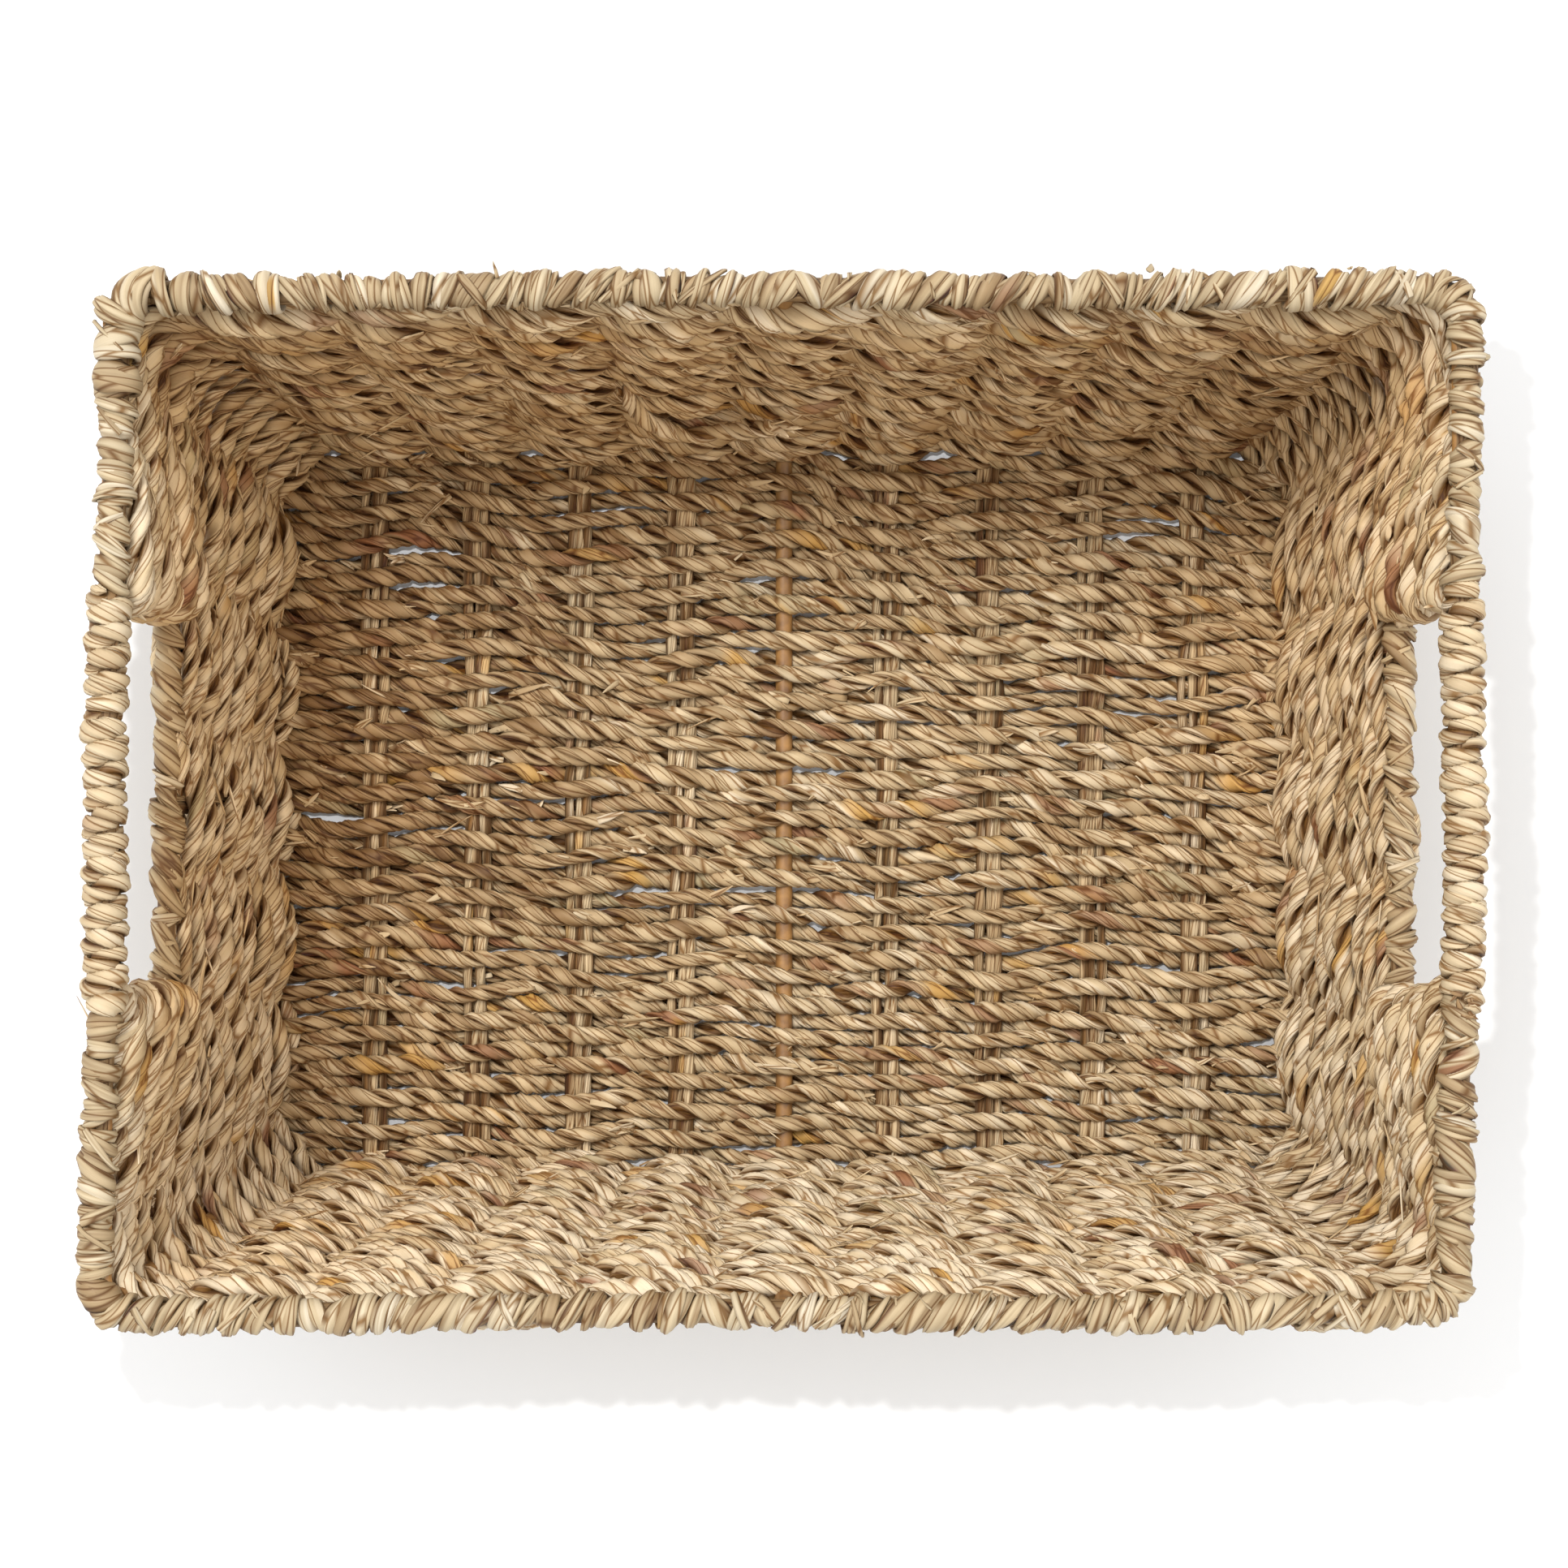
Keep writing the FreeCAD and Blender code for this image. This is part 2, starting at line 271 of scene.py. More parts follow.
class Piece:
    """Collects closed tubes of leaf and turns them into one mesh object."""

    def __init__(self, name, tint=(1.0, 1.0, 1.0)):
        self.name, self.tint = name, tint
        self.points, self.colours, self.grains = [], [], []
        self.quads, self.triangles = [], []
        self.count = 0

    def tube(self, rings, colours, grain):
        """rings is (n, k, 3); the two ends are closed with fans."""
        n, k = rings.shape[:2]
        index = self.count + np.arange(n * k).reshape(n, k)
        ahead = np.roll(index, -1, axis=1)
        quads = np.stack((index[:-1], ahead[:-1], ahead[1:], index[1:]), axis=-1)
        self.quads.append(quads.reshape(-1, 4))
        fan = np.arange(1, k - 1)
        start = np.stack((np.full(k - 2, index[0, 0]), index[0, fan + 1], index[0, fan]), axis=-1)
        end = np.stack((np.full(k - 2, index[-1, 0]), index[-1, fan], index[-1, fan + 1]), axis=-1)
        self.triangles += [start, end]
        self.points.append(settle(rings).reshape(-1, 3))
        # The colours get the painted warm shade here, then the piece's tint.
        self.colours.append((add_painted_warm_shade(rings, colours) * self.tint).reshape(-1, 3))
        self.grains.append(grain.reshape(-1, 3))
        self.count += n * k

    def build(self, material, slot, *nodes):
        points = np.concatenate(self.points) * MM
        quads = np.concatenate(self.quads)
        triangles = np.concatenate(self.triangles)
        corners = np.concatenate((quads.ravel(), triangles.ravel())).astype(np.int32)
        starts = np.concatenate(
            (np.arange(len(quads)) * 4, len(quads) * 4 + np.arange(len(triangles)) * 3)
        ).astype(np.int32)
        mesh = bpy.data.meshes.new(self.name)
        mesh.vertices.add(len(points))
        mesh.vertices.foreach_set("co", points.astype(np.float32).ravel())
        mesh.loops.add(len(corners))
        mesh.loops.foreach_set("vertex_index", corners)
        mesh.polygons.add(len(starts))
        mesh.polygons.foreach_set("loop_start", starts)
        mesh.update(calc_edges=True)
        mesh.shade_smooth()
        colours = np.ones((len(points), 4), np.float32)
        colours[:, :3] = np.concatenate(self.colours)
        leaf = mesh.attributes.new("leaf", "FLOAT_COLOR", "POINT")
        leaf.data.foreach_set("color", colours.ravel())
        grain = mesh.attributes.new("grain", "FLOAT_VECTOR", "POINT")
        grain.data.foreach_set("vector", np.concatenate(self.grains).astype(np.float32).ravel())
        mesh.materials.append(material)
        piece = new_object(self.name, mesh)
        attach(piece, "root")
        if nodes:
            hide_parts(*nodes)


def along(path):
    """Arc length at each point of a path."""
    steps = np.linalg.norm(np.diff(path, axis=0), axis=1)
    return np.concatenate(((0.0,), np.cumsum(steps)))


def sampled(places, s, table):
    """Rows of a table of vectors, interpolated at places along s."""
    return np.stack([np.interp(places, s, table[:, i]) for i in range(3)], axis=-1)


def even(path, step):
    """The same path with evenly spaced points."""
    s = along(path)
    return sampled(np.linspace(0, s[-1], max(3, round(s[-1] / step))), s, path)


def unit(vectors):
    return vectors / np.linalg.norm(vectors, axis=-1, keepdims=True)


def turned(first, second, angle):
    """Directions turned by an angle from first towards second."""
    return first * np.cos(angle)[:, None] + second * np.sin(angle)[:, None]


def section(path, across, up, wide, high):
    """Rings of points about a path, wide and high from it along two directions."""
    return path[:, None, :] + across[:, None, :] * wide[..., None] + up[:, None, :] * high[..., None]


def value_at(value, place):
    """A plain value, or what a function gives for a place."""
    return value(place) if callable(value) else value


def grain_of(rng, s, across, shape):
    """Texture coordinates for rings of points: along the leaf, across it, and a random place."""
    grain = np.empty(shape)
    grain[..., 0] = s[:, None]
    grain[..., 1] = across
    grain[..., 2] = rng.uniform(0, 900)
    return grain


def carried_frame(path, normal):
    """Tangents, and two normals that don't spin about the path."""
    tangents = unit(np.gradient(path, axis=0))
    first = np.empty_like(path)
    current = np.asarray(normal, float)
    for i, t in enumerate(tangents):
        current = current - t * (current @ t)
        current = current / math.sqrt(current @ current)
        first[i] = current
    return tangents, first, np.cross(tangents, first)


def flattened(wave):
    """A sine or cosine pushed out towards a square wave, for a section with a flat top and steep sides."""
    return np.sign(wave) * np.abs(wave) ** 0.78


def ply(piece, rng, path, axes, size, phase, lay, columns, tone, spread,
        flat=(1.0, 1.0), girth=1.0, odd_every=150):
    """One ply of a rope, turning right-handed about the rope's path.

    axes are the path's tangents and two normals. size is (offset, radial, sideways), flat scales the rope
    along the two normals, and girth makes it thick and thin along its length.
    """
    _, first, second = axes
    s = along(path)
    girth = np.reshape(girth, (-1, 1))
    turn = phase + 2 * math.pi * s / lay + drift(rng, s, 22, 0.40)
    outward, sideways = turned(first, second, turn), turned(second, -first, turn)
    offset, radial, across = size
    swell = 1 + drift(rng, s, 9, 0.10) + drift(rng, s, 40, 0.06)
    angle = -math.pi + np.arange(columns)[None, :] * 2 * math.pi / columns
    ridges = 1 + 0.08 * np.sin(3 * angle + rng.uniform(0, 6) + s[:, None] / 17)
    ridges = ridges + 0.06 * np.sin(5 * angle + rng.uniform(0, 6) - s[:, None] / 23)
    ends = np.clip(np.minimum(s, s[-1] - s) / 2.0, 0.25, 1)
    reach_out = (radial * swell * ends)[:, None] * ridges * flattened(np.cos(angle)) * girth
    reach_side = (across * swell * ends)[:, None] * ridges * flattened(np.sin(angle)) * girth
    away = section(outward * offset * girth, outward, sideways, reach_out, reach_side)
    if flat != (1.0, 1.0):
        one = (away * first[:, None, :]).sum(-1, keepdims=True)
        two = (away * second[:, None, :]).sum(-1, keepdims=True)
        rest = away - one * first[:, None, :] - two * second[:, None, :]
        away = rest + one * flat[0] * first[:, None, :] + two * flat[1] * second[:, None, :]
    colours = leaf_colours(rng, s, columns, tone + rng.normal(0, 0.05), spread, odd_every)
    # Painted shade: the side of each ply that faces the rope's middle, where the plies meet, is darkened
    inside = np.clip(-0.10 - 1.25 * np.cos(angle), 0, 1)
    colours = colours * (1 - inside[..., None] * PLY_GROOVE_PAINTED_SHADE)
    piece.tube(path[:, None, :] + away, colours, grain_of(rng, s, angle * across, away.shape))


def rope(piece, rng, path, normal, width=5.6, tone=0.66, spread=0.12, lay=LAY, flat=(1.0, 1.0)):
    """A laid rope of two plies. tone is a value or a function of the path.

    Returns the evenly spaced path and its tangents.
    """
    path = even(path, STEP)
    axes = carried_frame(path, normal)
    tone = value_at(tone, path)
    start = rng.uniform(0, 2 * math.pi)
    lay = lay * rng.uniform(0.9, 1.12)
    girth = 1 + drift(rng, along(path), 50, 0.10)
    for number in range(2):
        grown = width * rng.uniform(0.94, 1.06)
        size = (width * 0.235, grown * 0.265, grown * 0.45)
        phase = start + math.pi * number
        ply(piece, rng, path, axes, size, phase, lay, PLY_COLUMNS, tone, spread, flat, girth)
    return path, axes[0]


def stray(piece, rng, start, direction, away, length, width, lift, tone):
    """A loose end of leaf: it leaves along direction, lifts off towards away, bends and tapers."""
    t = np.linspace(0, 1, max(5, round(length / 1.6)))
    s = t * length
    side = unit(np.cross(direction, away))
    bend = rng.normal(0, 0.16) * length
    rise = lift * t ** rng.uniform(1.0, 2.0)
    path = start + direction * s[:, None] + away * rise[:, None] + side * (bend * t * t)[:, None]
    forward = unit(np.gradient(path, axis=0))
    turn = rng.uniform(-0.5, 0.5) + t * rng.normal(0, 0.7)
    flat_side = unit(np.cross(forward, away))
    flat_up = np.cross(flat_side, forward)
    across = turned(flat_side, flat_up, turn)
    normal = np.cross(across, forward)
    half = width / 2 * np.clip(1.15 - t ** 2.5, 0.18, 1)
    angle = np.arange(6) * math.pi / 3
    wide = half[:, None] * np.cos(angle)
    thick = np.minimum(half, 0.30)[:, None] * np.sin(angle) + 0.35 * half[:, None] * np.cos(angle) ** 2
    rings = section(path, across, normal, wide, thick)
    colours = np.broadcast_to(shade_of(tone + 0.12 * (t[:, None] - 0.5)), rings.shape)
    grain = grain_of(rng, s, wide, rings.shape)
    piece.tube(rings[:, ::-1], colours[:, ::-1], grain[:, ::-1])


def fray(piece, rng, path, tangents, away, spacing, radius, tone=0.72):
    """Loose ends all along a rope, on the side that away points to."""
    count = rng.poisson(len(path) * STEP / spacing)
    for index in rng.integers(2, len(path) - 2, count):
        normal = away[index] if away.ndim == 2 else away
        way = rng.choice((-1.0, 1.0)) * tangents[index]
        slant = np.cross(tangents[index], normal) * rng.normal(0, 0.35)
        direction = unit(way + slant + normal * rng.uniform(-0.05, 0.25))
        start = path[index] + normal * radius * rng.uniform(0.55, 0.9)
        length = rng.uniform(4, 10) if rng.random() < 0.94 else rng.uniform(10, 18)
        width = rng.uniform(0.5, 0.9) if rng.random() < 0.3 else rng.uniform(1.2, 2.5)
        lift = rng.uniform(0.0, 0.12) * length
        stray(piece, rng, start, direction, normal, length, width, lift, tone + rng.normal(0, 0.12))


def stubs(piece, rng, path, tangents, away, spacing):
    """Cut ends of rope pushed through the weave here and there: short bundles of split leaf."""
    count = rng.poisson(len(path) * STEP / spacing)
    for index in rng.integers(2, len(path) - 2, count):
        normal = away[index] if away.ndim == 2 else away
        slant = np.cross(tangents[index], normal) * rng.normal(0, 0.5)
        forward = rng.choice((-1.0, 1.0)) * tangents[index] + slant + normal * rng.uniform(0.3, 0.9)
        tone = rng.uniform(0.62, 0.90)
        for _ in range(rng.integers(4, 8)):
            start = path[index] + normal * 1.6 + rng.normal(0, 0.75, 3)
            aim = unit(forward + rng.normal(0, 0.12, 3))
            own_tone = tone + rng.normal(0, 0.08)
            length, width = rng.uniform(4.5, 7.5), rng.uniform(1.3, 2.2)
            stray(piece, rng, start, aim, normal, length, width, 0.2, own_tone)


# ------------ base

OPEN_SPOTS = (
    (9, 10.5, 2.0), (-19, 11.5, 1.8), (-52, 3, 1.5), (-44, -25, 1.7), (-17, -26, 1.5), (-148, -3, 2.0),
    (-15, -113, 2.0), (-118, 72, 1.6), (72, -48, 1.2), (131, 38, 1.4),
)


def opened(x, y):
    """How far the base's open spots push a row at y aside. Each spot is (x, y, reach)."""
    moved = np.zeros_like(x)
    for spot_x, spot_y, reach in OPEN_SPOTS:
        near = np.exp(-(((x - spot_x) / 11) ** 2)) * math.exp(-abs(y - spot_y) / 9)
        moved += 0.7 * math.copysign(reach, y - spot_y) * near
    return moved


def base_rows(rng):
    """Rows of the base's rope, over and under the stakes. Every other row runs back."""
    pitch_x = 2 * half_x(BASE_MID) / LONG_GAPS
    end = half_x(BASE_MID) - 2.0
    first_y = half_y(BASE_MID) - 5.6
    pitch_y = 2 * first_y / (BASE_ROWS - 1)
    lowest = 2.85
    shift = Ripple(rng, 62, 1.25)
    lift = Ripple(rng, 50, 0.35)
    rows = []
    x = np.arange(-end, end + 0.01, STEP)
    for row in range(BASE_ROWS):
        sign = -1 if row % 2 else 1
        y_row = -first_y + row * pitch_y
        edge = max(0.0, abs(y_row) / first_y - 0.93) / 0.07
        stake_phase = math.pi * x / pitch_x
        pull = -math.copysign(1, y_row) * edge * np.sin(stake_phase) ** 2
        y = y_row + shift(x, y_row) + pull + opened(x, y_row) + drift(rng, x, 20, 0.38)
        z = BASE_MID + sign * BASE_WAVE * np.cos(stake_phase) + lift(x, y_row)
        z = np.maximum(z, lowest)
        points = np.stack((x, y, z), axis=-1)
        rows.append(points if row % 2 == 0 else points[::-1])
    return rows


def base_tone_and_painted_shade(path):
    """The base's leaf tone, with painted shade: darker towards the back and the left, and browner in a
    patch on the left.
    """
    x, y = path[:, 0] / RIM_X, path[:, 1] / RIM_Y
    patch = np.exp(-(((x + 0.6) / 0.34) ** 2) - ((y - 0.2) / 0.60) ** 2)
    return 0.635 + 0.05 * (x - y) - 0.28 * patch


def turned_end(before, after, outward, reach):
    """Points of the tight turn from the end of one row to the start of the next."""
    angle = np.linspace(0, math.pi, 7)[1:-1, None]
    middle = (before + after) / 2
    return middle + (before - middle) * np.cos(angle) + np.asarray(outward) * reach * np.sin(angle)


def zigzag(rows, directions, reach):
    """One path through rows that already alternate in direction."""
    parts = [rows[0]]
    for number in range(1, len(rows)):
        side = directions[(number - 1) % 2]
        parts.append(turned_end(rows[number - 1][-1], rows[number][0], side, reach))
        parts.append(rows[number])
    return np.concatenate(parts)


def make_base(material):
    """The base's rope in four pieces."""
    rng = np.random.default_rng(21)
    rows = base_rows(rng)
    parts = 4
    limits = [round(BASE_ROWS * i / parts) for i in range(parts + 1)]
    for number in range(parts):
        chosen = rows[limits[number]:limits[number + 1]]
        right_first = limits[number] % 2 == 0
        sides = ((1, 0, 0), (-1, 0, 0)) if right_first else ((-1, 0, 0), (1, 0, 0))
        piece = Piece(f"base_rope_{number + 1}")
        route = zigzag(chosen, sides, reach=3.2)
        path, tangents = rope(piece, rng, route, UP, tone=base_tone_and_painted_shade, flat=(1.0, 0.95))
        fray(piece, rng, path, tangents, UP, spacing=60, radius=2.8)
        stubs(piece, rng, path, tangents, UP, spacing=1500)
        piece.build(material, "seagrass_rope", "base_weave")


# ------------ walls


WALL_NODES = tuple(f"wall_weave_{side}" for side in ("front", "back", "left", "right"))
STAKES = 2 * (LONG_GAPS + SHORT_GAPS)
CORNER_STAKE = SHORT_GAPS / 2
RING_STAKES = (0, CORNER_STAKE, CORNER_STAKE + LONG_GAPS, STAKES / 2 + CORNER_STAKE,
               STAKES - CORNER_STAKE, STAKES)


def wall_height(rows):
    return WALL_FIRST_Z + (WALL_LAST_Z - WALL_FIRST_Z) * rows / (WALL_ROWS - 1)


def ring_point(place, z):
    """x, y and outward direction on the wall's middle surface.

    place counts stakes anticlockwise from the middle of the right wall, corner posts included.
    """
    reach_x, reach_y, radius = half_x(z), half_y(z), corner_radius(z)
    x = reach_x * np.interp(place % STAKES, RING_STAKES, (1, 1, -1, -1, 1, 1))
    y = reach_y * np.interp(place % STAKES, RING_STAKES, (0, 1, 1, -1, -1, 0))
    way_x = np.where(x >= 0, 1.0, -1.0)
    way_y = np.where(y >= 0, 1.0, -1.0)
    from_corner = (reach_x - np.abs(x)) - (reach_y - np.abs(y))
    angle = math.pi / 4 * (1 + np.clip(from_corner / radius, -1, 1))
    out_x, out_y = np.cos(angle), np.sin(angle)
    bent = np.abs(from_corner) < radius
    x = np.where(bent, way_x * (reach_x - radius + radius * out_x), x)
    y = np.where(bent, way_y * (reach_y - radius + radius * out_y), y)
    return x, y, way_x * out_x, way_y * out_y


def wall_path(rng, place, weave, rows, lift):
    """A rope's path in the wall. weave counts the stakes that it passes, out of one and into the next."""
    z_row = wall_height(rows)
    x, y, out_x, out_y = ring_point(place, z_row)
    on_short_side = np.abs(out_x) > 0.7
    wave = np.cos(math.pi * weave)
    short_wave = np.interp(z_row, (0, FOOT_Z), (SHORT_WALL_FOOT_WAVE, SHORT_WALL_WAVE))
    long_wave = np.interp(z_row, (0, FOOT_Z), (LONG_WALL_FOOT_WAVE, LONG_WALL_WAVE))
    inward = np.where(on_short_side, short_wave, long_wave)
    trail = np.arange(len(place)) * STEP
    offset = wave * np.where(wave > 0, WALL_WAVE, inward) + drift(rng, trail, 20, 0.55)
    offset = offset - np.where(on_short_side, SHORT_WALL_SAG, 0.0) * np.clip(1 - z_row / 90, 0, 1)
    rise = lift(place * STAKE_PITCH, z_row) + drift(rng, trail, 16, 0.6)
    out = offset * math.cos(LEAN) + SLOPE * rise
    return np.stack((x + out_x * out, y + out_y * out, z_row + rise - offset * math.sin(LEAN)), axis=-1)


def wall_tone_with_painted_light(path):
    """The walls' leaf tone, with light and shade painted in: paler on the left and front walls than on the
    back wall, brownest towards the back wall's ends.
    """
    x, y = path[:, 0] / RIM_X, path[:, 1] / RIM_Y
    left, right, back = np.clip(-x, 0, 1) ** 2, np.clip(x, 0, 1) ** 6, np.clip(y, 0, 1)
    tone = 0.80 + left * (0.16 - 0.13 * y * y - 0.12 * back) - 0.12 * y**3
    return tone + 0.22 * back**3 * (right - x * x * (1 - x**6))


def wall_rope(piece, rng, path):
    """A rope of the wall, with loose ends inside and outside."""
    path, tangents = rope(
        piece, rng, path, UP, width=6.8, tone=wall_tone_with_painted_light, spread=0.13, lay=WALL_LAY, flat=(1.20, 0.78)
    )
    inward = unit(np.cross(UP, tangents))
    inward = inward * np.sign(-(inward * path * (1, 1, 0)).sum(-1, keepdims=True))
    fray(piece, rng, path, tangents, inward, spacing=42, radius=3.1)
    fray(piece, rng, path, tangents, -inward, spacing=60, radius=3.1)
    stubs(piece, rng, path, tangents, inward, spacing=2200)


def make_walls(material):
    """Two ropes climb round the basket to the slots, and above that each long side has its own."""
    rng = np.random.default_rng(31)
    lift = Ripple(rng, 80, 0.5)
    for number in range(2):
        climbing_rope(material, rng, lift, number)
    for name, way in (("back", 1), ("front", -1)):
        upper_rope(material, rng, lift, name, way)
    for name, side_x in (("left", -1), ("right", 1)):
        piece = Piece(f"slot_ends_{name}")
        for side_y in (-1, 1):
            slot_end(piece, rng, side_x, side_y)
        piece.build(material, "seagrass_rope", f"wall_weave_{name}")


def climbing_rope(material, rng, lift, number):
    """One of the two ropes, half a lap apart, in pieces of a few turns round the basket."""
    turns = 3
    start = number * STAKES / 2
    for part in range(SLOT_ROW // (2 * turns)):
        first = start + part * turns * STAKES
        place = np.arange(first, first + turns * STAKES, STEP / STAKE_PITCH)
        rows = (place - start) / (STAKES / 2)
        piece = Piece(f"wall_rope_{'ab'[number]}{part + 1}")
        wall_rope(piece, rng, wall_path(rng, place, place + number, rows, lift))
        piece.build(material, "seagrass_rope", *WALL_NODES)


def upper_rope(material, rng, lift, name, way):
    """The rope of a long side above the slots' sills. It turns back at the uprights of the slots."""
    rows = []
    for row in range(SLOT_ROW, WALL_ROWS):
        edge = CORNER_STAKE * HANDLE_HALF / half_y(wall_height(row))
        place = np.arange(edge, STAKES / 2 - edge, STEP / STAKE_PITCH)
        knots = (edge, 2, STAKES / 2 - 2, STAKES / 2 - edge)
        weave = np.interp(place, knots, (1, 2, STAKES / 2 - 2, STAKES / 2 - 1)) + row
        shift = 0 if way == 1 else STAKES / 2
        path = wall_path(rng, place + shift, weave, np.full_like(place, row), lift)
        rows.append(path if (row - SLOT_ROW) % 2 == 0 else path[::-1])
    inward = (0.0, -way, 0.0)
    piece = Piece(f"wall_rope_{name}_upper")
    wall_rope(piece, rng, zigzag(rows, (inward, inward), reach=3.6))
    if way == 1:
        loose_rope(piece, rng)
    piece.build(material, "seagrass_rope", f"wall_weave_{name}")


def loose_rope(piece, rng):
    """A length of rope that has come out of the back wall: it sags, and its cut end stands off."""
    t = np.linspace(0, 1, 40)
    x = -52 + 49 * t
    z = 72 - 26 * np.sin(math.pi * t**0.85) - 6 * t
    inward = np.interp(t, (0, 0.15, 0.7, 1), (4, 9, 10, 15))
    route = np.stack((x, half_y(z) - inward, z), axis=-1)
    path, tangents = rope(piece, rng, route, UP, width=5.4, tone=0.80)
    for _ in range(7):
        start = path[-3] + rng.normal(0, 0.9, 3)
        aim = unit(tangents[-3] + rng.normal(0, 0.12, 3))
        length, width, tone = rng.uniform(7, 13), rng.uniform(1.3, 2.4), rng.uniform(0.7, 0.95)
        stray(piece, rng, start, aim, UP, length, width, 0.2, tone)


def slot_end(piece, rng, side_x, side_y):
    """Fat strands that come out of the weave and curl round the upright at one end of a slot."""
    strands = 6
    run_length = 44
    for number in range(strands):
        z = SILL_Z + SILL_R + 1 + (RIM_Z - RIM_R - SILL_Z - SILL_R - 3) * number / (strands - 1)
        deep = 9.5 - number + rng.normal(0, 0.5)
        middle = (4.0 - deep) / 2
        reach = (4.0 + deep) / 2
        run = np.linspace(run_length, 0, 24)[:-1]
        turn = np.linspace(-math.pi / 2, math.pi / 2, 12)
        y = 3.0 + np.concatenate((HANDLE_HALF + run, HANDLE_HALF - 6.0 * np.cos(turn)))
        inside = 1 - (deep + 1) * (1 - (run / run_length) ** 2)
        offset = np.concatenate((inside, middle + reach * np.sin(turn)))
        y = y + rng.normal(0, 0.5)
        trail = np.arange(len(y)) * 2.0
        rise = z + drift(rng, trail, 14, 0.8) + np.concatenate((run * 0.06, np.zeros(len(turn))))
        path = np.stack((side_x * (half_x(rise) + offset), side_y * y, rise), axis=-1)
        path, tangents = rope(piece, rng, path, UP, width=7.8, lay=30, tone=0.82)
        inward = np.array((-side_x, 0.0, 0.3))
        fray(piece, rng, path, tangents, inward, spacing=60, radius=3.0, tone=0.78)


# ------------ stakes


def cord(piece, rng, path, normal, width, tone):
    """A straight bundle of fine fibres, hardly twisted."""
    path = even(path, 2.0)
    axes = carried_frame(path, normal)
    size = (0.0, width / 2, width / 2)
    ply(piece, rng, path, axes, size, rng.uniform(0, 6), lay=90, columns=8, tone=tone, spread=0.10)


def make_stakes(material):
    rng = np.random.default_rng(41)
    for side, name in ((-1, "left"), (1, "right")):
        piece = Piece(f"long_stakes_{name}")
        nodes = []
        for index in range(1, LONG_GAPS // 2):
            place = side * index
            number = place + LONG_GAPS // 2 if place < 0 else place + LONG_GAPS // 2 - 1
            nodes.append(f"long_stake_{number}")
            for shift in (-2.6, 0.2, 2.7):
                cord(piece, rng, long_stake(rng, place, shift), (0, 0, 1), rng.uniform(2.9, 3.5), 0.70)
        piece.build(material, "stake_cord", *nodes)
        piece = Piece(f"short_stakes_{name}")
        nodes = []
        reach = SHORT_GAPS // 2
        for number, index in enumerate(range(1 - reach, reach), start=1):
            node = f"short_stake_{name}_{number}"
            nodes.append(node)
            top = cad_box(node)[1][2] - 1
            for shift in (-1.7, 1.7):
                z = np.linspace(8, top, 40)
                y = index * half_y(z) / reach + shift
                path = np.stack((side * half_x(z), y, z), axis=-1)
                cord(piece, rng, path, (side, 0, 0), 3.3, 0.60)
        piece.build(material, "stake_cord", *nodes)


def long_stake(rng, index, shift):
    """Down the front wall, across the base and up the back wall, pushed up or down by each row."""
    bend = 6.0
    top = RIM_Z - WIRE_R - 1
    z = np.linspace(top, BASE_MID + bend, 50)
    spread = index / (LONG_GAPS / 2)
    front = np.stack((spread * half_x(z) + shift, -half_y(z), z), axis=-1)
    y_end = half_y(BASE_MID) - bend
    y = np.linspace(-y_end, y_end, 160)
    rows = (BASE_ROWS - 1) * (y + y_end) / (2 * y_end)
    sway = 0.5 * np.cos(math.pi * (rows + index))
    x = np.full_like(y, spread * half_x(BASE_MID) + shift) + drift(rng, y, 30, 0.5)
    base = np.stack((x, y, BASE_MID - sway), axis=-1)
    back = front[::-1] * (1, -1, 1)
    return np.concatenate((front, base, back))


# ------------ wrapping


class Bar:
    """A bar to wind leaf round: its centre line with the directions up and sideways at each point."""

    def __init__(self, path):
        self.path = even(np.asarray(path, float), 0.5)
        self.s = along(self.path)
        self.length = self.s[-1]
        self.tangent = unit(np.gradient(self.path, axis=0))
        self.up = unit(UP - self.tangent * (self.tangent @ UP)[:, None])
        self.side = np.cross(self.tangent, self.up)

    def at(self, s):
        """The centre line, tangent, up and side at places along the bar, or past its ends."""
        inner = np.clip(s, 0, self.length)
        beyond = (s - inner)[:, None]
        values = []
        for table in (self.path, self.tangent, self.up, self.side):
            values.append(sampled(inner, self.s, table))
        values[0] = values[0] + values[1] * beyond
        return values


